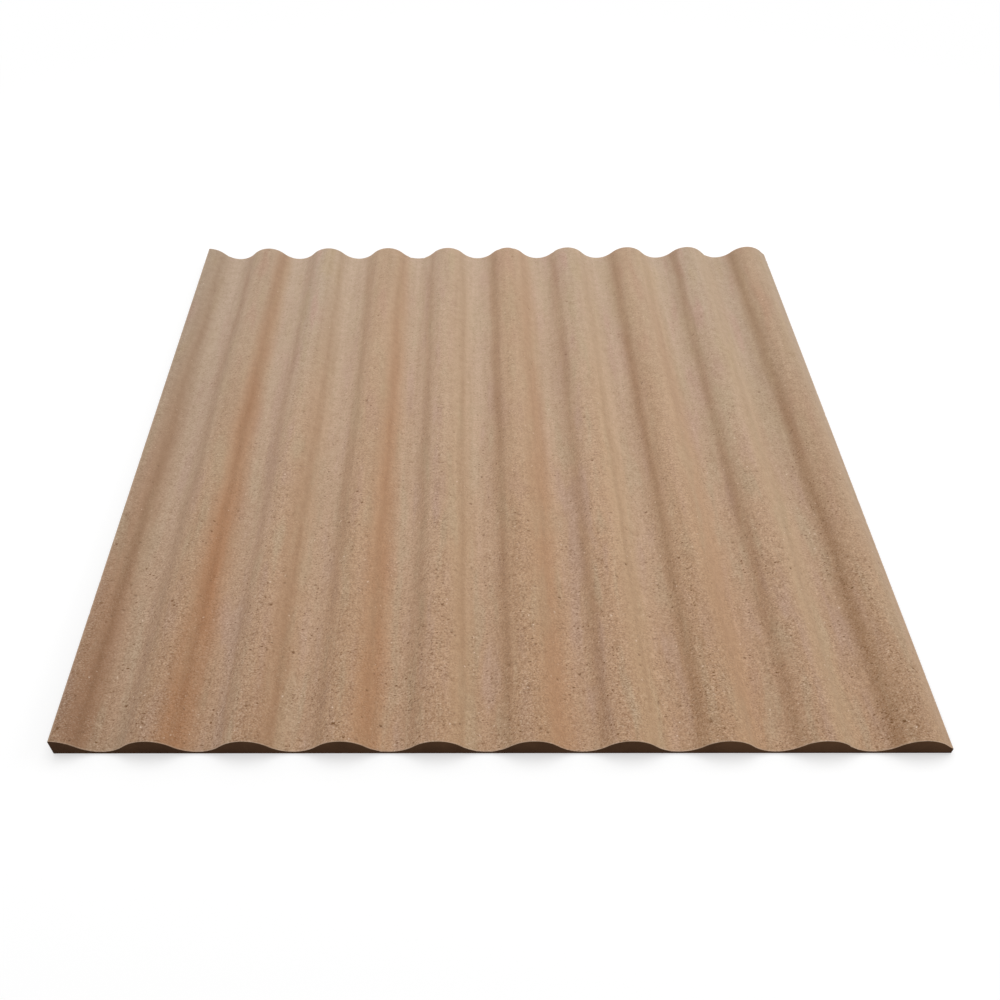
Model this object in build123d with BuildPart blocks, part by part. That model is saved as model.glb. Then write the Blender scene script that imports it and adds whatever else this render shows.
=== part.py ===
"""Flexible wall panel: one moulded sheet with a flat back, a wavy face and square-cut edges.

Frame: millimetres, +Z up. The panel lies on its back, which is the plane Z = 0.
The waves run along Y and follow each other along X. The origin is the middle of the back.
"""

import math
import os

from build123d import *

# Driving dimensions

PANEL_WIDTH = 600.0  # across the waves
PANEL_LENGTH = 600.0  # along the waves
WAVE_PITCH = 64.4  # from one crest to the next
WAVE_HEIGHT = 13.0  # from the bottom of a trough to the top of a crest
TROUGH_THICKNESS = 2.0  # of the sheet under the bottom of a trough
FIRST_CREST_INSET = 0.0  # from the left edge to the first crest
ARRIS_RADIUS = 0.4  # on the edge where the wavy face meets the four cuts

# Sizes that follow from the driving dimensions

crest_thickness = TROUGH_THICKNESS + WAVE_HEIGHT
flank_level = TROUGH_THICKNESS + WAVE_HEIGHT / 2
quarter_wave = WAVE_PITCH / 4
half_wave = WAVE_PITCH / 2
first_crest = -PANEL_WIDTH / 2 + FIRST_CREST_INSET
waves_before = math.ceil(FIRST_CREST_INSET / WAVE_PITCH)
waves_after = math.ceil((PANEL_WIDTH - FIRST_CREST_INSET) / WAVE_PITCH)
sheet_start = first_crest - waves_before * WAVE_PITCH - quarter_wave
sheet_end = first_crest + waves_after * WAVE_PITCH + quarter_wave


def half_wave_arc(start, extreme_level):
    """Half a wave of the section: an arc over a crest or under a trough, from flank to flank.

    Equal arcs meet on the flanks with one tangent, so the face has no crease.
    """
    extreme = (start + quarter_wave, extreme_level)
    return ThreePointArc((start, flank_level), extreme, (start + half_wave, flank_level))


# The sheet's section runs over whole waves past both edges, and is cut to the panel's width

with BuildPart() as wave_panel:
    with BuildSketch(Plane.XZ):
        with BuildLine():
            for wave in range(waves_before + waves_after):
                wave_start = sheet_start + wave * WAVE_PITCH
                half_wave_arc(wave_start, crest_thickness)
                half_wave_arc(wave_start + half_wave, TROUGH_THICKNESS)
            half_wave_arc(sheet_end - half_wave, crest_thickness)
            Polyline((sheet_end, flank_level), (sheet_end, 0), (sheet_start, 0), (sheet_start, flank_level))
        make_face()
        Rectangle(PANEL_WIDTH, crest_thickness, align=(Align.CENTER, Align.MIN), mode=Mode.INTERSECT)
    extrude(amount=PANEL_LENGTH / 2, both=True)

    wavy_arrises = wave_panel.edges().filter_by(GeomType.CIRCLE)
    side_arrises = wave_panel.faces().filter_by(Axis.X).edges().filter_by(Axis.Y).group_by(Axis.Z)[1:]
    fillet([*wavy_arrises, *[edge for level in side_arrises for edge in level]], ARRIS_RADIUS)

wave_panel.part.label = "wave_panel"

os.makedirs("parts", exist_ok=True)
export_step(wave_panel.part, "parts/wave_panel.step")
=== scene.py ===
"""The flexible wall panel: its relief and finishes, the plain studio round it and the camera.

Everything is in metres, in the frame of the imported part: the panel lies on its back at Z = 0,
the waves run along Y and follow each other along X. Left is -X, and the near end is at -Y.
"""

import logging
import math
import random
from dataclasses import dataclass
from enum import Enum
from typing import Any, Mapping, NamedTuple, Optional, Sequence, Tuple, Union

import bmesh
import bpy
from mathutils import Matrix, Vector, noise


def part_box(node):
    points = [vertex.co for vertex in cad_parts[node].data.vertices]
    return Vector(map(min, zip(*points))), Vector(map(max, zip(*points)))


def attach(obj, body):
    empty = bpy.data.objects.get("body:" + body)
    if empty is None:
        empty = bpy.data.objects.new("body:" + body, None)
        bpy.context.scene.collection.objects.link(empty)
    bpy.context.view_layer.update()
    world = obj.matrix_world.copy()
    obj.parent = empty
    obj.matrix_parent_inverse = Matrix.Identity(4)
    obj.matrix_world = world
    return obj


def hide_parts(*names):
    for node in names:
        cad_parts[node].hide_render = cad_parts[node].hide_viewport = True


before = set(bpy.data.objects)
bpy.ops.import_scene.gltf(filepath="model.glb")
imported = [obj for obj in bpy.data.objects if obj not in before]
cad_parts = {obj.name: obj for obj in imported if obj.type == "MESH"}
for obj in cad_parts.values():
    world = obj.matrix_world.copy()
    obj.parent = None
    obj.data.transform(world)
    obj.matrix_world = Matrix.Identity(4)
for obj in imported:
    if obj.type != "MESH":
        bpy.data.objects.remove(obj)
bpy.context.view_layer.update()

Colour = Tuple[float, float, float]
Triple = Tuple[float, float, float]
Span = Tuple[float, float]
Key = Union[str, int]

PANEL_NODE = "wave_panel"
PANEL_BODY = "root"
WAVE_PITCH = 0.0644
WAVE_HEIGHT = 0.013
PIT_SHADE_AND_DUST = "pit"
HALF = 0.5
PAIR = 2.0
OPAQUE = 1.0
MATRIX_SIZE = 4
UNCHANGED: Colour = (1.0, 1.0, 1.0)
ONTO_FLOOR: Triple = (1.0, 1.0, 0.0)

log = logging.getLogger("wall_panel")


class MathOp(Enum):
    """The Math node operations that the finishes use."""

    ADD = "ADD"
    SUBTRACT = "SUBTRACT"
    MULTIPLY = "MULTIPLY"
    DIVIDE = "DIVIDE"
    POWER = "POWER"
    MODULO = "FLOORED_MODULO"
    FLOOR = "FLOOR"
    FRACTION = "FRACT"
    ABSOLUTE = "ABSOLUTE"
    LEAST = "MINIMUM"


class Blend(Enum):
    """How one colour is laid over another."""

    COVER = "MIX"
    TONE = "MULTIPLY"


class MixPlace(Enum):
    """The places of a Mix node's colour sockets, whose names other sockets share."""

    FACTOR = 0
    FIRST = 6
    SECOND = 7
    RESULT = 2


class SeenRay(Enum):
    """The rays that show the white surround, each with its output on the Light Path node."""

    CAMERA = "Is Camera Ray"
    GLOSS = "Is Glossy Ray"
    GLASS = "Is Transmission Ray"


class Surface(Enum):
    """The panel's kinds of surface, each with the number of its material slot."""

    FACE = 0
    CUT = 1
    BACK = 2


class Link:
    """A shader socket that carries a colour, a vector or a shader."""

    def __init__(self, shader: "Shader", socket: bpy.types.NodeSocket) -> None:
        """Wraps an output socket of a node in the shader's tree."""
        self.shader = shader
        self.socket = socket


class Value(Link):
    """A shader socket that carries a number and takes part in Python arithmetic."""

    def __add__(self, other: "Term") -> "Value":
        """Sum of two values."""
        return self.shader.math(MathOp.ADD, self, other)

    def __radd__(self, other: "Term") -> "Value":
        """Sum of a number and a value."""
        return self.shader.math(MathOp.ADD, other, self)

    def __sub__(self, other: "Term") -> "Value":
        """Difference of two values."""
        return self.shader.math(MathOp.SUBTRACT, self, other)

    def __rsub__(self, other: "Term") -> "Value":
        """Difference of a number and a value."""
        return self.shader.math(MathOp.SUBTRACT, other, self)

    def __mul__(self, other: "Term") -> "Value":
        """Product of two values."""
        return self.shader.math(MathOp.MULTIPLY, self, other)

    def __rmul__(self, other: "Term") -> "Value":
        """Product of a number and a value."""
        return self.shader.math(MathOp.MULTIPLY, other, self)

    def __truediv__(self, other: "Term") -> "Value":
        """Quotient of two values."""
        return self.shader.math(MathOp.DIVIDE, self, other)

    def __pow__(self, other: "Term") -> "Value":
        """A value raised to a power."""
        return self.shader.math(MathOp.POWER, self, other)

    def __mod__(self, other: "Term") -> "Value":
        """Remainder of a division, never negative."""
        return self.shader.math(MathOp.MODULO, self, other)

    def __abs__(self) -> "Value":
        """Size of a value without its sign."""
        return self.shader.math(MathOp.ABSOLUTE, self)

    def floor(self) -> "Value":
        """Whole part of a value."""
        return self.shader.math(MathOp.FLOOR, self)

    def fraction(self) -> "Value":
        """Part of a value after its whole part."""
        return self.shader.math(MathOp.FRACTION, self)

    def least(self, other: "Term") -> "Value":
        """The lesser of two values."""
        return self.shader.math(MathOp.LEAST, self, other)

    def ramp(self, low: float, high: float) -> "Value":
        """A smooth step of this value.

        Args:
            low: The value where the step is 0.
            high: The value where the step is 1; below low, the step falls.

        Returns:
            The step, from 0 to 1.
        """
        if high < low:
            return 1.0 - self.ramp(high, low)
        made = self.shader.node(
            "ShaderNodeMapRange",
            {"interpolation_type": "SMOOTHSTEP"},
            {"Value": self, "From Min": low, "From Max": high},
        )
        return Value(self.shader, made.outputs["Result"])

    def between(self, first: float, last: float) -> "Value":
        """Goes from the first number, where this value is 0, to the last, where it is 1."""
        return first + (last - first) * self


Term = Union[Value, float]


class Shader:
    """A node tree that is written as expressions."""

    def __init__(self, tree: bpy.types.NodeTree) -> None:
        """Takes over a node tree and empties it."""
        self.tree = tree
        tree.nodes.clear()

    def node(
        self,
        kind: str,
        settings: Optional[Mapping[str, Any]] = None,
        inputs: Optional[Mapping[Key, Any]] = None,
    ) -> bpy.types.Node:
        """Adds a node of any type.

        Args:
            kind: The node's type.
            settings: The node's own properties, which are set first.
            inputs: A link, a number or a colour for each socket, by its name or place.

        Returns:
            The new node.
        """
        made = self.tree.nodes.new(kind)
        for name, value in (settings or {}).items():
            setattr(made, name, value)
        for key, value in (inputs or {}).items():
            socket = made.inputs[key]
            if isinstance(value, Link):
                self.tree.links.new(value.socket, socket)
            elif socket.type == "RGBA":
                socket.default_value = (*value, OPAQUE)
            else:
                socket.default_value = value
        return made

    def math(self, operation: MathOp, *terms: Term) -> Value:
        """A Math node on numbers and values."""
        made = self.node("ShaderNodeMath", {"operation": operation.value}, dict(enumerate(terms)))
        return Value(self, made.outputs[0])

    def place(self) -> Link:
        """The object's own coordinates, in metres."""
        return Link(self, self.node("ShaderNodeTexCoord").outputs["Object"])

    def axes(self, vector: Link) -> Tuple[Value, Value, Value]:
        """The three parts of a vector."""
        made = self.node("ShaderNodeSeparateXYZ", None, {0: vector})
        return Value(self, made.outputs[0]), Value(self, made.outputs[1]), Value(self, made.outputs[2])

    def stretch(self, vector: Link, scales: Triple, start: Union[Triple, Link]) -> Link:
        """A vector scaled along each axis and moved, so that a texture stretches and shifts.

        Args:
            vector: The coordinates, or one number for all three.
            scales: A factor for each axis.
            start: What is added to each axis afterwards, plain or another vector.

        Returns:
            The new coordinates.
        """
        terms = {0: vector, 1: scales, 2: start}
        made = self.node("ShaderNodeVectorMath", {"operation": "MULTIPLY_ADD"}, terms)
        return Link(self, made.outputs[0])

    def trait(self, name: str) -> Value:
        """A number that the mesh carries at each point."""
        made = self.node("ShaderNodeAttribute", {"attribute_name": name})
        return Value(self, made.outputs["Fac"])

    def mix(self, factor: Term, first: Any, second: Any, blend: Blend = Blend.COVER) -> Link:
        """A mix of two colours, links or plain.

        Args:
            factor: The second colour's share.
            first: The colour at 0.
            second: The colour at 1.
            blend: How the second colour is laid over the first.

        Returns:
            The mixed colour.
        """
        settings = {"data_type": "RGBA", "blend_type": blend.value}
        sockets = {
            MixPlace.FACTOR.value: factor,
            MixPlace.FIRST.value: first,
            MixPlace.SECOND.value: second,
        }
        made = self.node("ShaderNodeMix", settings, sockets)
        return Link(self, made.outputs[MixPlace.RESULT.value])

    def tone(self, colour: Link, tone: Link) -> Link:
        """A colour made lighter or darker by a factor, or by one for each of its parts."""
        return self.mix(1.0, colour, tone, Blend.TONE)

    def bump(self, height: Value, depth: float) -> Link:
        """A normal that is tilted by a height from 0 to 1 over a depth in metres."""
        made = self.node("ShaderNodeBump", None, {"Strength": 1.0, "Distance": depth, "Height": height})
        return Link(self, made.outputs[0])

    def clay(
        self,
        colour: Link,
        roughness: Term,
        normal: Link,
        gloss: float,
        dust: float = 0.0,
        dust_spread: float = 0.5,
    ) -> None:
        """Ends the tree in a matt solid's shader.

        Args:
            colour: The base colour.
            roughness: The roughness.
            normal: The bumped normal.
            gloss: The specular level.
            dust: How much pale dust shows where the surface is seen at a low angle.
            dust_spread: How far from the lowest angles that dust shows.
        """
        sockets = {
            "Base Color": colour,
            "Roughness": roughness,
            "Normal": normal,
            "Specular IOR Level": gloss,
            "Sheen Weight": dust,
            "Sheen Roughness": dust_spread,
        }
        solid = self.node("ShaderNodeBsdfPrincipled", None, sockets)
        self.node("ShaderNodeOutputMaterial", None, {"Surface": Link(self, solid.outputs[0])})


def new_shader(name: str) -> Tuple[bpy.types.Material, Shader]:
    """Starts a material.

    Args:
        name: The material's name.

    Returns:
        The new material and its empty node tree.
    """
    material = bpy.data.materials.new(name)
    material.use_nodes = True
    return material, Shader(material.node_tree)


@dataclass(frozen=True)
class Blotches:
    """Cloudy blotches, so many to a metre along each axis."""

    per_metre: Triple
    start: Triple = (0.0, 0.0, 0.0)
    detail: float = 2.0
    roughness: float = 0.5

    def value(self, shader: Shader, place: Link) -> Value:
        """The blotches at a place.

        Args:
            shader: The tree that they are added to.
            place: The object's own coordinates.

        Returns:
            A value from 0 to 1, about a half on average.
        """
        sockets = {
            "Vector": shader.stretch(place, self.per_metre, self.start),
            "Scale": 1.0,
            "Detail": self.detail,
            "Roughness": self.roughness,
        }
        return Value(shader, shader.node("ShaderNodeTexNoise", None, sockets).outputs["Fac"])

    def swing(self, shader: Shader, place: Link) -> Value:
        """The blotches at a place, from minus a half to a half."""
        return self.value(shader, place) - HALF


@dataclass(frozen=True)
class Grains:
    """Uneven grains or pores, one to a cell, with so many cells to a metre along each axis.

    Each cell draws a lot from 0 to 1: up to bare it holds nothing, and from there to 1 its grain
    grows stronger. A grain is whole within its core and gone at its reach, both in cells. Its
    outline sways by a share of a cell, so many times in a cell.
    """

    per_metre: Triple
    core: float
    reach: float
    bare: float
    start: Triple = (0.0, 0.0, 0.0)
    sway: float = 0.5
    sways: float = 2.0

    def value(self, shader: Shader, place: Link) -> Value:
        """The grains at a place.

        Args:
            shader: The tree that they are added to.
            place: The object's own coordinates.

        Returns:
            A value from 0 between the grains to 1 in the strongest.
        """
        grid = shader.stretch(place, self.per_metre, self.start)
        sockets = {"Vector": grid, "Scale": self.sways, "Detail": 0.0}
        waver = Link(shader, shader.node("ShaderNodeTexNoise", None, sockets).outputs["Color"])
        swayed = shader.stretch(waver, (self.sway, self.sway, self.sway), grid)
        cells = shader.node("ShaderNodeTexVoronoi", None, {"Vector": swayed, "Scale": 1.0})
        colour = shader.node("ShaderNodeSeparateColor", None, {0: Link(shader, cells.outputs["Color"])})
        lot = Value(shader, colour.outputs[0])
        distance = Value(shader, cells.outputs["Distance"])
        return distance.ramp(self.reach, self.core) * lot.ramp(self.bare, 1.0)


@dataclass(frozen=True)
class WaveSection:
    """The face's section: equal arcs over the crests and under the troughs, tangent on the flanks."""

    first_crest: float
    pitch: float
    height: float
    trough_level: float

    @property
    def flank_level(self) -> float:
        """Height at which a crest arc turns into a trough arc."""
        return self.trough_level + self.height / 2

    @property
    def radius(self) -> float:
        """Radius of every arc."""
        return ((self.pitch / 4) ** 2 + (self.height / 2) ** 2) / self.height

    @property
    def arc(self) -> float:
        """Length of one arc, from flank to flank."""
        return 2 * self.radius * math.asin(self.pitch / 4 / self.radius)

    def run_to(self, across: float) -> float:
        """Length of the face's line from the first crest.

        Args:
            across: The X where the line ends.

        Returns:
            The length along the arcs.
        """
        half_wave = math.floor((across - self.first_crest + self.pitch / 4) / (self.pitch / 2))
        extreme = self.first_crest + half_wave * self.pitch / 2
        return half_wave * self.arc + self.radius * math.asin((across - extreme) / self.radius)

    def point(self, run: float) -> Tuple[Vector, Vector]:
        """A point of the section.

        Args:
            run: The length along the arcs from the first crest.

        Returns:
            The point and the face's normal there, both with Y at 0.
        """
        half_wave, into = divmod(run + self.arc / 2, self.arc)
        turn = (into - self.arc / 2) / self.radius
        up = 1 if half_wave % 2 == 0 else -1
        extreme = self.first_crest + half_wave * self.pitch / 2
        rise = self.radius * math.cos(turn) - (self.radius - self.height / 2)
        place = Vector((extreme + self.radius * math.sin(turn), 0, self.flank_level + up * rise))
        return place, Vector((up * math.sin(turn), 0, math.cos(turn)))


class Spot(NamedTuple):
    """Where a place lies on the face, as the stains count it."""

    waves: Value
    across: Value
    near: Value
    patches: Value

    def left(self) -> Value:
        """0 on the right edge and 1 on the left one."""
        return 1.0 - self.across

    def far(self) -> Value:
        """0 at the near end and 1 at the far one."""
        return 1.0 - self.near

    def edge(self) -> Value:
        """0 halfway across the waves and 1 on the left and right edges."""
        return abs(self.across.between(-1.0, 1.0))


class Grit(NamedTuple):
    """How the face's grain shows at a place."""

    rough: Value
    sand: Value
    pore: Value
    speck: Value


@dataclass(frozen=True)
class Band:
    """A soft band that runs along every wave.

    Its middle is a share of a wave, from 0 on a crest to 1 on the next, and so is its reach to each
    side, at the far and the near end.
    """

    middle: float
    far_reach: float
    near_reach: float

    def turn(self, spot: Spot) -> Value:
        """A count of waves that is whole halfway between two bands."""
        return spot.waves - self.middle + HALF

    def strength(self, spot: Spot) -> Value:
        """How strong the band is at a spot, from 0 to 1."""
        reach = spot.near.between(self.far_reach, self.near_reach)
        return (abs(self.turn(spot).fraction() - HALF) / reach).ramp(1.0, 0.0)


@dataclass(frozen=True)
class StainAndShadeBand(Band):
    """A band of another colour; most are stains, two are painted shade along the steepest flanks.

    Its strength is the product of what is given for even or odd waves, for the left and right edges
    and for the far and near ends, and it is more or less patchy.
    """

    colour: Colour
    even: float = 1.0
    odd: float = 1.0
    left: float = 1.0
    right: float = 1.0
    far: float = 1.0
    near: float = 1.0
    patchy: float = 0.0

    def strength(self, spot: Spot) -> Value:
        """How strong the band is at a spot.

        Args:
            spot: The place on the face.

        Returns:
            The share of the band's colour; the mix cuts it off at 0 and 1.
        """
        turns = (self.turn(spot).floor() % PAIR).between(self.even, self.odd)
        sides = spot.across.between(self.left, self.right)
        ends = spot.near.between(self.far, self.near)
        return super().strength(spot) * turns * sides * ends * (1.0 + self.patchy * (spot.patches - HALF))


HOLLOW = StainAndShadeBand(0.45, 0.40, 0.40, (0.592, 0.434, 0.312), odd=0.75, left=0.45, right=0.12, far=1.6, near=0.35)
GREY_FLANK = StainAndShadeBand(0.72, 0.28, 0.28, (0.470, 0.318, 0.218), left=0.5, right=0.15, near=0.8, patchy=4.0)
BROWN_RIDGE = StainAndShadeBand(0.92, 0.40, 0.40, (0.440, 0.255, 0.130), odd=0.0, left=0.3, right=0.5, patchy=1.0)
KHAKI_FLANK = StainAndShadeBand(0.24, 0.26, 0.26, (0.498, 0.334, 0.180), odd=0.75, left=0.2, right=0.6, far=0.6)
ODD_RUST = StainAndShadeBand(
    0.265, 0.18, 0.31, (0.408, 0.184, 0.074),
    even=0.0, left=1.02, right=0.12, far=0.45, near=0.95, patchy=1.0,
)
EVEN_RUST = StainAndShadeBand(
    0.22, 0.18, 0.30, (0.360, 0.175, 0.085),
    odd=0.0, left=0.78, right=-0.8, far=0.05, near=0.97, patchy=1.0,
)
# Painted shade: a thin dark band where the right flanks are steepest, stronger at the near end.
RIGHT_FLANK_PAINTED_SHADE = StainAndShadeBand(
    0.25, 0.07, 0.07, (0.280, 0.138, 0.055),
    odd=0.6, left=0.20, right=0.06, far=0.8, near=1.8,
)
# Painted shade: a dark brown band where the left flanks are steepest, stronger to the right.
LEFT_FLANK_PAINTED_SHADE = StainAndShadeBand(0.745, 0.11, 0.11, (0.295, 0.145, 0.052), odd=0.8, left=0.26, right=0.44, patchy=1.6)


@dataclass(frozen=True)
class SandyFace:
    """The moulded face: sand and clay, rust and grey along the flanks, pores and pale grains, painted shade
    along the steepest flanks, painted shade and dark dust in the pits, and a painted highlight along the
    rim.

    Warmth goes from the cool to the warm tan, grit from smooth to rough, and a tone is a change of
    the clay's brightness. A span is where something starts and where it is whole, a far value is
    the share that is left of something at the far end, and a power is how late it rises.
    """

    section: WaveSection
    low: Vector
    high: Vector

    # Colours
    cool_tan: Colour = (0.475, 0.342, 0.234)
    warm_tan: Colour = (0.505, 0.311, 0.182)
    near_tan: Colour = (0.468, 0.271, 0.148)
    blush: Colour = (0.478, 0.298, 0.216)
    khaki: Colour = (0.468, 0.334, 0.207)
    pore_shade: Colour = (0.150, 0.055, 0.002)
    pale_sand: Colour = (0.760, 0.590, 0.450)
    # Stains, and painted shade along the steepest flanks
    stains_and_painted_shade: Sequence[StainAndShadeBand] = (
        HOLLOW,
        GREY_FLANK,
        BROWN_RIDGE,
        KHAKI_FLANK,
        ODD_RUST,
        EVEN_RUST,
        RIGHT_FLANK_PAINTED_SHADE,
        LEFT_FLANK_PAINTED_SHADE,
    )

    # Patterns
    clouds: Blotches = Blotches((16, 4, 16), detail=3.0)
    wander: Blotches = Blotches((12, 14, 12), (3, 9, 5))
    patches: Blotches = Blotches((75, 13, 75), (7, 3, 1))
    streaks: Blotches = Blotches((170, 7, 170))
    mottles: Blotches = Blotches((170, 170, 170))
    clods: Blotches = Blotches((520, 520, 520), detail=1.0)
    sand: Blotches = Blotches((800, 1150, 1000), roughness=0.6)
    clusters: Blotches = Blotches((60, 45, 60), (1, 6, 2))
    pores: Grains = Grains((280, 460, 460), 0.12, 0.42, 0.38)
    specks: Grains = Grains((300, 300, 300), 0.10, 0.24, 0.90, (280, 170, 110))
    smooth_flank: Band = Band(0.22, 0.30, 0.30)
    rough_ridge: Band = Band(0.0, 0.25, 0.25)

    # Warmth and patches
    far_warmth: float = 0.25
    near_warmth: float = 1.0
    edge_cool: float = 0.75
    cool_power: float = 2.0
    cloud_warmth: float = 0.8
    near_share: float = 0.9
    near_power: float = 3.0
    wander_share: float = 0.09
    far_patches: float = 0.85
    near_patches: float = 0.6
    blush_span: Span = (0.50, 0.70)
    khaki_span: Span = (0.50, 0.30)

    # Grain
    far_grit: float = 0.35
    grit_power: float = 1.5
    flank_grit: float = -0.45
    ridge_grit: float = 0.3
    cluster_grit: float = 0.3
    cluster_span: Span = (0.35, 0.65)
    far_pores: float = 0.35
    flank_pores: float = -0.8
    pore_power: float = 2.0
    far_specks: float = 0.5
    far_pits: float = 0.4
    dark_span: Span = (0.5, 0.2)
    dark_share: float = 0.9
    pale_span: Span = (0.5, 0.8)
    pale_share: float = 0.55
    rim_width: float = 0.0016
    # Painted highlight: a pale line along the rim, where the arris catches the light.
    painted_rim_highlight: float = 0.28

    # Tone
    tone: float = 1.03
    flank_tone: float = 0.04
    ridge_tone: float = -0.07
    far_corner_tone: float = -0.03
    near_corner_tone: float = -0.13
    corner_power: float = 4.0
    near_corner_power: float = 8.0
    edge_tone: float = -0.12
    edge_power: float = 3.0
    brink_tone: float = -0.08
    brink_power: float = 30.0
    streak_tone: float = 0.25
    mottle_tone: float = 0.26
    clod_tone: float = 0.7
    grain_tint: Triple = (1.0, 1.25, 1.6)

    # Relief and gloss
    relief: float = 0.0004
    sand_relief: float = 0.55
    roughness: float = 0.75
    sand_roughness: float = 0.15
    gloss: float = 0.5
    dust: float = 0.2
    dust_spread: float = 0.5

    def material(self) -> bpy.types.Material:
        """Makes the face's material.

        Returns:
            The material, which reads the object's coordinates and the mesh's pit marks.
        """
        material, shader = new_shader("sandy_face")
        place = shader.place()
        spot = self.spot(shader, place)
        smooth = self.smooth_flank.strength(spot)
        ridge = self.rough_ridge.strength(spot)
        grit = self.grit(shader, place, spot, smooth, ridge)

        tan = self.stained_with_painted_shade(shader, place, spot, 1.0 - smooth)
        tan = self.shaded(shader, spot, tan, smooth, ridge)
        tan = self.mottled(shader, place, tan, grit)
        tan = self.grained(shader, spot, tan, grit)

        height = self.sand_relief * grit.sand * spot.near.between(self.far_grit, 1.0)
        normal = shader.bump(height, self.relief)
        roughness = self.roughness + self.sand_roughness * (grit.sand - HALF)
        shader.clay(tan, roughness, normal, self.gloss, self.dust, self.dust_spread)
        return material

    def spot(self, shader: Shader, place: Link) -> Spot:
        """Where a place lies on the face; the count of waves wanders a little, as the bands do.

        Args:
            shader: The tree that the nodes are added to.
            place: The object's own coordinates.

        Returns:
            The place on the face.
        """
        x, y, _ = shader.axes(place)
        size = self.high - self.low
        across = (x - self.low.x) / size.x
        near = (self.high.y - y) / size.y
        wander = self.wander_share * self.wander.swing(shader, place)
        waves = (x - self.section.first_crest) / self.section.pitch + wander
        return Spot(waves, across, near, self.patches.value(shader, place))

    def grit(self, shader: Shader, place: Link, spot: Spot, smooth: Value, ridge: Value) -> Grit:
        """How the grain shows: more on the ridges and at the near end, less on the smooth flanks.

        Args:
            shader: The tree that the nodes are added to.
            place: The object's own coordinates.
            spot: The place on the face.
            smooth: 1 on the smooth flanks and 0 on the rest.
            ridge: 1 on the ridges and 0 on the rest.

        Returns:
            The grain at the place.
        """
        cluster = self.clusters.value(shader, place).ramp(*self.cluster_span)
        rough = 1.0 + self.flank_grit * smooth + self.ridge_grit * ridge
        rough = rough + self.cluster_grit * (cluster - HALF)
        holes = (HALF + cluster) * (1.0 + self.flank_pores * smooth)
        pore = self.pores.value(shader, place) ** self.pore_power * holes
        ends = spot.near**self.grit_power
        return Grit(
            rough * ends.between(self.far_grit, 1.0),
            self.sand.value(shader, place),
            pore * ends.between(self.far_pores, 1.0),
            self.specks.value(shader, place) * ends.between(self.far_specks, 1.0),
        )

    def stained_with_painted_shade(self, shader: Shader, place: Link, spot: Spot, rough: Value) -> Link:
        """The clay's colour, cool towards the far end and warm at the near end, with stains and painted
        shade.

        Args:
            shader: The tree that the nodes are added to.
            place: The object's own coordinates.
            spot: The place on the face.
            rough: 0 on the smooth flanks and 1 on the rest, where the blush shows.

        Returns:
            The colour with its stains and painted shade.
        """
        ends = spot.near.between(self.far_warmth, self.near_warmth)
        cool = self.edge_cool * spot.edge() ** self.cool_power * spot.far()
        warmth = ends - cool + self.cloud_warmth * self.clouds.swing(shader, place)
        tan = shader.mix(warmth, self.cool_tan, self.warm_tan)
        tan = shader.mix(self.near_share * spot.near**self.near_power, tan, self.near_tan)
        patchy = spot.near.between(self.far_patches, self.near_patches)
        tan = shader.mix(spot.patches.ramp(*self.blush_span) * patchy * rough, tan, self.blush)
        tan = shader.mix(spot.patches.ramp(*self.khaki_span) * patchy, tan, self.khaki)
        # The stains, and the painted shade along the steepest flanks.
        for stain_and_shade in self.stains_and_painted_shade:
            tan = shader.mix(stain_and_shade.strength(spot), tan, stain_and_shade.colour)
        return tan

    def shaded(self, shader: Shader, spot: Spot, tan: Link, smooth: Value, ridge: Value) -> Link:
        """The stained and painted-shade colour, darker by the left and right edges, in the left corners and
        on near ridges.

        Args:
            shader: The tree that the nodes are added to.
            spot: The place on the face.
            tan: The colour with its stains and painted shade.
            smooth: 1 on the smooth flanks and 0 on the rest.
            ridge: 1 on the ridges and 0 on the rest.

        Returns:
            The shaded colour.
        """
        edge = self.edge_tone * spot.edge() ** self.edge_power
        brink = self.brink_tone * spot.left() ** self.brink_power
        far_corner = self.far_corner_tone * spot.far()
        near_corner = self.near_corner_tone * spot.near**self.near_corner_power
        corners = (far_corner + near_corner) * spot.left() ** self.corner_power
        waves = (self.flank_tone * smooth + self.ridge_tone * ridge) * spot.near**self.near_power
        return shader.tone(tan, (self.tone + edge + brink + corners) * (1.0 + waves))

    def mottled(self, shader: Shader, place: Link, tan: Link, grit: Grit) -> Link:
        """The shaded colour, lighter and darker in streaks, mottles and clods.

        Args:
            shader: The tree that the nodes are added to.
            place: The object's own coordinates.
            tan: The shaded colour.
            grit: The grain at the place.

        Returns:
            The mottled colour.
        """
        tone = self.streak_tone * self.streaks.swing(shader, place)
        tone = tone + self.mottle_tone * self.mottles.swing(shader, place)
        tone = tone + self.clod_tone * grit.rough * self.clods.swing(shader, place)
        return shader.tone(tan, shader.stretch(tone, self.grain_tint, UNCHANGED))

    def grained(self, shader: Shader, spot: Spot, tan: Link, grit: Grit) -> Link:
        """The mottled colour, with dark and pale sand, pores, specks, shaded pits and a painted rim
        highlight.

        Args:
            shader: The tree that the nodes are added to.
            spot: The place on the face.
            tan: The mottled colour.
            grit: The grain at the place.

        Returns:
            The finished colour.
        """
        dark = grit.sand.ramp(*self.dark_span) * grit.rough * self.dark_share
        pale = grit.sand.ramp(*self.pale_span) * grit.rough * self.pale_share
        # Pits darkened with painted shade in their hollows and with dark dust.
        pits = shader.trait(PIT_SHADE_AND_DUST) * spot.near.between(self.far_pits, 1.0)
        tan = shader.mix(dark, tan, self.pore_shade)
        tan = shader.mix(pale, tan, self.pale_sand)
        tan = shader.mix(grit.pore, tan, self.pore_shade)
        tan = shader.mix(grit.speck, tan, self.pale_sand)
        tan = shader.mix(pits, tan, self.pore_shade)
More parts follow.
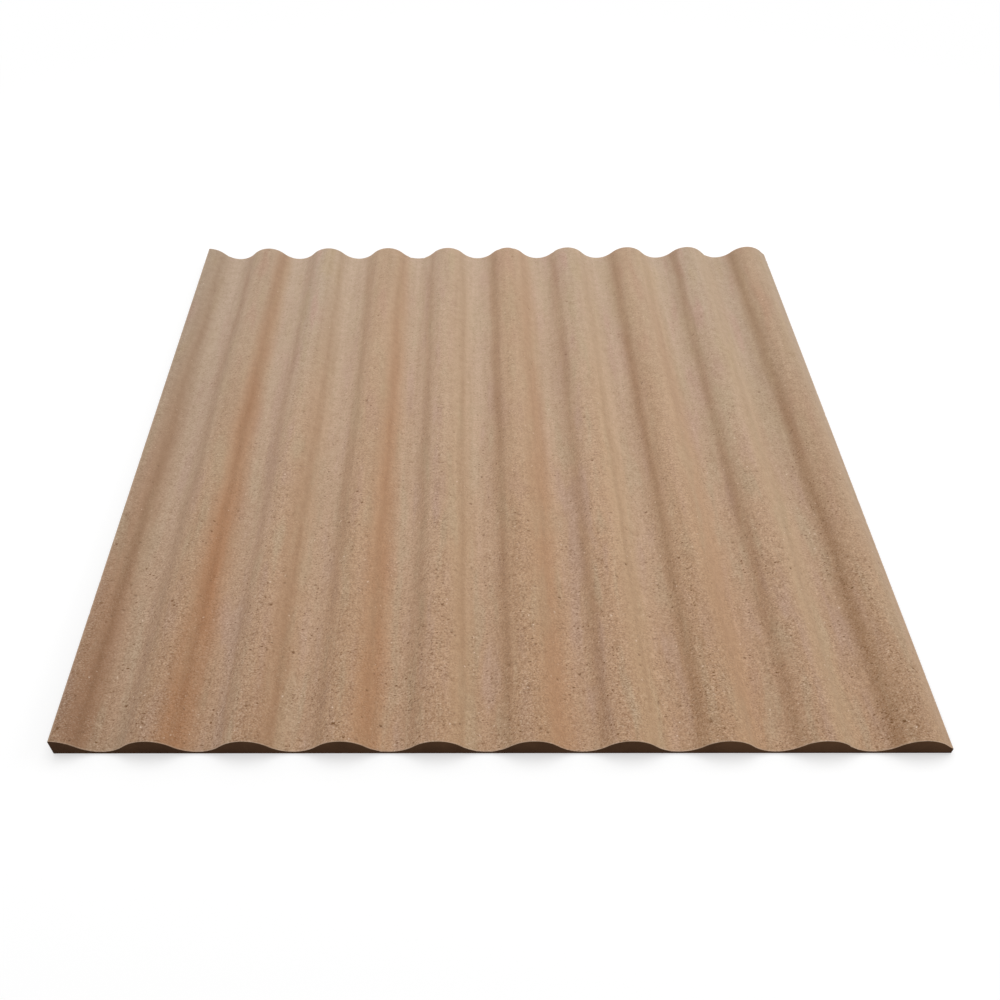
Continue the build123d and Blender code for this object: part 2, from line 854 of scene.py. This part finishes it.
        # A painted highlight along the rim.
        return shader.mix(self.rim(spot) * self.painted_rim_highlight, tan, self.pale_sand)

    def rim(self, spot: Spot) -> Value:
        """How close a place lies to the nearest cut edge, where the face gets a painted highlight.

        Args:
            spot: The place on the face.

        Returns:
            A value from 0 to 1, on the edge itself.
        """
        size = self.high - self.low
        side = spot.across.least(spot.left()) * size.x
        end = spot.near.least(spot.far()) * size.y
        return side.least(end).ramp(self.rim_width, 0.0)


@dataclass(frozen=True)
class CutClay:
    """The panel's dark body on its cut sides and back: partly damp clay and partly painted shade."""

    name: str
    low: Vector
    high: Vector
    # Dark brown: partly the damp cut clay, partly painted shade.
    body: Colour = (0.125, 0.062, 0.031)
    damp: Colour = (0.090, 0.044, 0.023)
    dust: Colour = (0.170, 0.105, 0.070)
    clouds: Blotches = Blotches((45, 45, 45), detail=3.0)
    grain: Blotches = Blotches((1000, 1000, 1000), roughness=0.6)
    damp_span: Span = (0.3, 0.7)
    dust_span: Span = (0.5, 0.8)
    dust_share: float = 0.4
    # Painted shade and light: darker at the foot and to the left, lighter at the top and to the right.
    painted_foot_shade: float = 0.82
    painted_top_light: float = 1.08
    painted_left_shade: float = 0.88
    painted_right_light: float = 1.12
    relief: float = 0.0003
    roughness: float = 0.9
    grain_roughness: float = 0.1
    gloss: float = 0.05

    def material(self) -> bpy.types.Material:
        """Makes the body's material, with painted shade: darker at the foot and to the left.

        Returns:
            The material, which reads the object's coordinates.
        """
        material, shader = new_shader(self.name)
        place = shader.place()
        x, _, z = shader.axes(place)
        size = self.high - self.low
        # Painted shade and light across the cut faces, from foot to top and from left to right.
        height = ((z - self.low.z) / size.z).between(self.painted_foot_shade, self.painted_top_light)
        across = ((x - self.low.x) / size.x).between(self.painted_left_shade, self.painted_right_light)
        grain = self.grain.value(shader, place)
        clay = shader.mix(self.clouds.value(shader, place).ramp(*self.damp_span), self.body, self.damp)
        clay = shader.tone(clay, height * across)
        clay = shader.mix(grain.ramp(*self.dust_span) * self.dust_share, clay, self.dust)
        roughness = self.roughness + self.grain_roughness * (grain - HALF)
        shader.clay(clay, roughness, shader.bump(grain, self.relief), self.gloss)
        return material


@dataclass(frozen=True)
class Swell:
    """Low bumps of the moulded face, so many to a metre and so high."""

    per_metre: float
    height: float

    def rise(self, place: Vector) -> float:
        """Height of the bumps at a place, up or down."""
        return noise.noise(place * self.per_metre) * self.height


@dataclass(frozen=True)
class Pits:
    """One size of pit that burst grains and air left in the face.

    A share of the face's cells has such a pit. Its rim is what is left of the cell round it, its
    drop is its depth, and its last field darkens the hollow with painted shade and dark dust.
    """

    share: float
    rim: float
    drop: float
    mark: float


@dataclass
class WavePanel:
    """The panel, moulded as one sheet and cut square on four sides.

    The face's cells are drawn a little uneven, by a slack that is a share of a cell. Pits lie in
    patches, and the spans give their share from flank to ridge and from the far to the near end.
    """

    section: WaveSection
    low: Vector
    high: Vector
    columns: int = 270
    rows: int = 270
    slack: float = 0.2
    swells: Sequence[Swell] = (Swell(45.0, 0.00012), Swell(190.0, 0.00006))
    pits: Sequence[Pits] = (
        Pits(0.030, 0.00085, 0.0004, 0.35),
        Pits(0.008, 0.00070, 0.0006, 0.7),
        Pits(0.002, 0.00050, 0.0008, 1.0),
    )
    pit_wall_shade_and_dust: float = 0.7
    pit_ridge: float = 0.95
    pit_reach: float = 0.3
    pit_patches: Swell = Swell(28.0, 1.0)
    pit_level: float = 0.3
    pit_flanks: Span = (0.4, 3.0)
    pit_ends: Span = (0.3, 1.7)
    nick_share: float = 0.05
    nick_depth: float = 0.0006
    nick_power: float = 2.0
    arris: float = 0.0004
    arris_segments: int = 2
    slack_seed: int = 11
    pit_seed: int = 12
    nick_seed: int = 13

    def build(self) -> bpy.types.Object:
        """Models the panel.

        Returns:
            The panel's object, with a material slot number on each face.
        """
        mesh = bmesh.new()
        self.mould(mesh)
        self.pit(mesh)
        self.nick(mesh)
        self.cut(mesh)
        self.close_back(mesh)
        bmesh.ops.recalc_face_normals(mesh, faces=mesh.faces[:])
        return new_object("wave_panel_skin", mesh)

    def mould(self, mesh: bmesh.types.BMesh) -> None:
        """Lays a flat grid of the face's unrolled size and bends it over the arcs.

        Args:
            mesh: The empty mesh that takes the face.
        """
        lot = random.Random(self.slack_seed)
        bmesh.ops.create_grid(mesh, x_segments=self.columns, y_segments=self.rows, size=HALF)
        first_run = self.section.run_to(self.low.x)
        run = self.section.run_to(self.high.x) - first_run
        length = self.high.y - self.low.y
        slack = self.slack / self.columns
        for vertex in mesh.verts:
            share = vertex.co.copy()
            if not vertex.is_boundary:
                share.x += lot.uniform(-slack, slack)
                share.y += lot.uniform(-slack, slack)
            place, normal = self.section.point(first_run + (share.x + HALF) * run)
            place.y = self.low.y + (share.y + HALF) * length
            if not vertex.is_boundary:
                place += normal * sum(swell.rise(place) for swell in self.swells)
            vertex.co = place

    def pit(self, mesh: bmesh.types.BMesh) -> None:
        """Sinks pits into the face and marks their points for the material.

        Args:
            mesh: The mesh of the moulded face.
        """
        lot = random.Random(self.pit_seed)
        mark = mesh.verts.layers.float.new(PIT_SHADE_AND_DUST)
        inner = [face for face in mesh.faces if not any(vertex.is_boundary for vertex in face.verts)]
        for size in self.pits:
            chosen = [face for face in inner if lot.random() < size.share * self.pitting(face)]
            inner = list(set(inner) - set(chosen))
            inner.sort(key=lambda face: face.index)
            drop = -size.drop / 2
            bmesh.ops.inset_individual(
                mesh, faces=chosen, thickness=size.rim, depth=drop, use_even_offset=True
            )
            floors = bmesh.ops.poke(mesh, faces=chosen, offset=drop, center_mode="MEAN")
            # The pit's points carry how dark the material paints them: partly painted shade, partly dark
            # dust.
            for floor in floors["verts"]:
                floor[mark] = size.mark
                for edge in floor.link_edges:
                    edge.other_vert(floor)[mark] = size.mark * self.pit_wall_shade_and_dust
            mesh.faces.index_update()

    def pitting(self, face: bmesh.types.BMFace) -> float:
        """How likely pits are at a face: in patches, more on the ridges and at the near end.

        Args:
            face: A face of the moulded grid.

        Returns:
            A factor on the share of every size of pit.
        """
        place = face.calc_center_median()
        turn = (place.x - self.section.first_crest) / self.section.pitch - self.pit_ridge + HALF
        ridge = max(0.0, 1.0 - abs(turn % 1.0 - HALF) / self.pit_reach)
        near = (self.high.y - place.y) / (self.high.y - self.low.y)
        patch = max(0.0, self.pit_level + self.pit_patches.rise(place))
        return patch * share_of(self.pit_flanks, ridge) * share_of(self.pit_ends, near)

    def nick(self, mesh: bmesh.types.BMesh) -> None:
        """Chips the rim of the face here and there.

        Args:
            mesh: The mesh of the moulded face.
        """
        lot = random.Random(self.nick_seed)
        for vertex in mesh.verts:
            if vertex.is_boundary and lot.random() < self.nick_share:
                vertex.co.z -= self.nick_depth * lot.random() ** self.nick_power

    def cut(self, mesh: bmesh.types.BMesh) -> None:
        """Drops square sides from the face's rim to the floor and rounds the arris.

        Args:
            mesh: The mesh of the moulded face.
        """
        for face in mesh.faces:
            face.smooth = True
        rim = [edge for edge in mesh.edges if edge.is_boundary]
        made = bmesh.ops.extrude_edge_only(mesh, edges=rim)
        foot = [item for item in made["geom"] if isinstance(item, bmesh.types.BMVert)]
        bmesh.ops.scale(mesh, vec=ONTO_FLOOR, verts=foot)
        for item in made["geom"]:
            if isinstance(item, bmesh.types.BMFace):
                item.material_index = Surface.CUT.value
                item.smooth = False
        bmesh.ops.bevel(
            mesh,
            geom=rim,
            offset=self.arris,
            offset_type="OFFSET",
            affect="EDGES",
            segments=self.arris_segments,
            profile=0.5,
            material=-1,
            clamp_overlap=True,
        )

    def close_back(self, mesh: bmesh.types.BMesh) -> None:
        """Closes the back with one flat face.

        Args:
            mesh: The mesh of the face and the four sides.
        """
        foot = [edge for edge in mesh.edges if edge.is_boundary]
        back = bmesh.ops.edgeloop_fill(mesh, edges=foot)
        for face in back["faces"]:
            face.material_index = Surface.BACK.value
            face.smooth = False

    def dress(self, panel: bpy.types.Object) -> None:
        """Gives the panel its finishes, in the order of their slots, and ties it to the part.

        Args:
            panel: The panel's object.
        """
        finishes = {
            Surface.FACE: SandyFace(self.section, self.low, self.high),
            Surface.CUT: CutClay("cut_clay", self.low, self.high),
            Surface.BACK: CutClay("back_clay", self.low, self.high),
        }
        for surface in Surface:
            panel.data.materials.append(finishes[surface].material())
        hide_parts(PANEL_NODE)
        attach(panel, PANEL_BODY)


@dataclass(frozen=True)
class Softbox:
    """A square studio lamp that looks at a point."""

    name: str
    place: Triple
    target: Triple
    side: float
    power: float

    def build(self) -> None:
        """Hangs the lamp."""
        data = bpy.data.lights.new(self.name, "AREA")
        data.size = self.side
        data.energy = self.power
        lamp = bpy.data.objects.new(self.name, data)
        lamp.location = self.place
        lamp.rotation_mode = "QUATERNION"
        lamp.rotation_quaternion = (Vector(self.target) - Vector(self.place)).to_track_quat("-Z", "Y")
        bpy.context.scene.collection.objects.link(lamp)


@dataclass(frozen=True)
class Studio:
    """The plain floor, the soft light and the white surround.

    The floor keeps the panel's shadow as far as the shadow's reach, and is plain white further out.
    """

    floor_side: float = 12.0
    floor_gap: float = 0.0002
    floor_white: Colour = (0.6, 0.6, 0.6)
    floor_lift: float = 0.5
    shadow_reach: float = 0.5
    white_from: float = 1.1
    surround: Colour = (1.0, 1.0, 1.0)
    ambient: float = 0.45
    lamps: Sequence[Softbox] = (
        Softbox("overhead_softbox", (0.0, 0.7, 2.2), (0.0, 0.0, 0.0), 2.0, 24.0),
        Softbox("right_softbox", (0.95, 0.1, 0.5), (0.1, 0.0, 0.0), 0.7, 2.4),
        Softbox("left_softbox", (-0.95, 0.1, 0.5), (-0.1, 0.0, 0.0), 0.7, 1.2),
    )

    def build(self) -> None:
        """Makes the floor, the world and the lamps."""
        self.build_floor()
        self.build_world()
        for lamp in self.lamps:
            lamp.build()

    def seen(self, shader: Shader) -> Value:
        """Tells what is seen from what only gives light.

        Args:
            shader: The tree that the nodes are added to.

        Returns:
            1 for what the camera sees straight, in a gloss or through glass, and 0 for plain light.
        """
        path = shader.node("ShaderNodeLightPath")
        camera, gloss, glass = (Value(shader, path.outputs[ray.value]) for ray in SeenRay)
        return camera + gloss + glass

    def build_floor(self) -> None:
        """Lays the floor."""
        mesh = bmesh.new()
        bmesh.ops.create_grid(mesh, x_segments=1, y_segments=1, size=self.floor_side / 2)
        bmesh.ops.translate(mesh, vec=(0, 0, -self.floor_gap), verts=mesh.verts[:])
        floor = new_object("studio_floor", mesh)
        floor.data.materials.append(self.floor_material())

    def floor_material(self) -> bpy.types.Material:
        """Makes the floor's white paper.

        Returns:
            The material, which shades in the shadow's reach and is plain white further out.
        """
        material, shader = new_shader("floor_white")
        seen = self.seen(shader)
        x, y, _ = shader.axes(shader.place())
        away = (x * x + y * y).ramp(self.shadow_reach**2, self.white_from**2)
        paper = shader.node("ShaderNodeBsdfDiffuse", None, {"Color": self.floor_white})
        lift = shader.node("ShaderNodeEmission", None, {"Strength": self.floor_lift * seen})
        layers = {0: Link(shader, paper.outputs[0]), 1: Link(shader, lift.outputs[0])}
        lit = shader.node("ShaderNodeAddShader", None, layers)
        white = shader.node("ShaderNodeEmission", None, {"Strength": 1.0})
        parts = {0: seen * away, 1: Link(shader, lit.outputs[0]), 2: Link(shader, white.outputs[0])}
        mixed = shader.node("ShaderNodeMixShader", None, parts)
        shader.node("ShaderNodeOutputMaterial", None, {"Surface": Link(shader, mixed.outputs[0])})
        return material

    def build_world(self) -> None:
        """Surrounds the scene with even light, and with white where the camera or a gloss sees it."""
        world = bpy.data.worlds.new("studio")
        world.use_nodes = True
        bpy.context.scene.world = world
        shader = Shader(world.node_tree)
        strength = self.seen(shader).between(self.ambient, 1.0)
        light = shader.node("ShaderNodeBackground", None, {"Color": self.surround, "Strength": strength})
        shader.node("ShaderNodeOutputWorld", None, {"Surface": Link(shader, light.outputs[0])})


@dataclass(frozen=True)
class Camera:
    """The camera, fitted to the panel's outline in the photograph."""

    place: Triple = (-0.02263, -0.64093, 0.59558)
    pitch: float = math.radians(45.9205)
    yaw: float = math.radians(0.5304)
    roll: float = math.radians(0.507)
    focal_share: float = 0.99423
    shift: float = 0.03973
    sensor: float = 36.0
    clip_start: float = 0.01

    def build(self) -> bpy.types.Object:
        """Sets the camera up as the scene's own.

        Returns:
            The camera's object.
        """
        data = bpy.data.cameras.new("camera")
        data.sensor_width = self.sensor
        data.lens = self.focal_share * self.sensor
        data.shift_x = self.shift
        data.clip_start = self.clip_start
        camera = bpy.data.objects.new("camera", data)
        turn = Matrix.Rotation(self.yaw, MATRIX_SIZE, "Z")
        tip = Matrix.Rotation(math.pi / 2 - self.pitch, MATRIX_SIZE, "X")
        lean = Matrix.Rotation(-self.roll, MATRIX_SIZE, "Z")
        camera.matrix_world = Matrix.Translation(self.place) @ turn @ tip @ lean
        bpy.context.scene.collection.objects.link(camera)
        bpy.context.scene.camera = camera
        return camera


def new_object(name: str, mesh: bmesh.types.BMesh) -> bpy.types.Object:
    """Puts a finished mesh in the scene.

    Args:
        name: The object's name.
        mesh: The mesh, which is freed.

    Returns:
        The new object, at the origin.
    """
    data = bpy.data.meshes.new(name)
    mesh.to_mesh(data)
    mesh.free()
    made = bpy.data.objects.new(name, data)
    bpy.context.scene.collection.objects.link(made)
    return made


def share_of(span: Span, share: float) -> float:
    """A number on the way from a span's first value, at 0, to its last, at 1."""
    return span[0] + (span[1] - span[0]) * share


def main() -> None:
    """Builds the panel, the studio and the camera, in that order."""
    logging.basicConfig(level=logging.INFO, format="%(name)s: %(message)s")
    bpy.context.scene.view_settings.view_transform = "Standard"
    low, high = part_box(PANEL_NODE)
    section = WaveSection(low.x, WAVE_PITCH, WAVE_HEIGHT, high.z - WAVE_HEIGHT)
    panel = WavePanel(section, low, high)
    skin = panel.build()
    panel.dress(skin)
    triangles = sum(len(face.vertices) - 2 for face in skin.data.polygons)
    log.info("%s: %d triangles", skin.name, triangles)
    studio = Studio()
    studio.build()
    log.info("studio: floor, surround and %d lamps", len(studio.lamps))
    camera = Camera().build()
    log.info("%s: %.1f mm lens", camera.name, camera.data.lens)


if __name__ == "__main__":
    main()
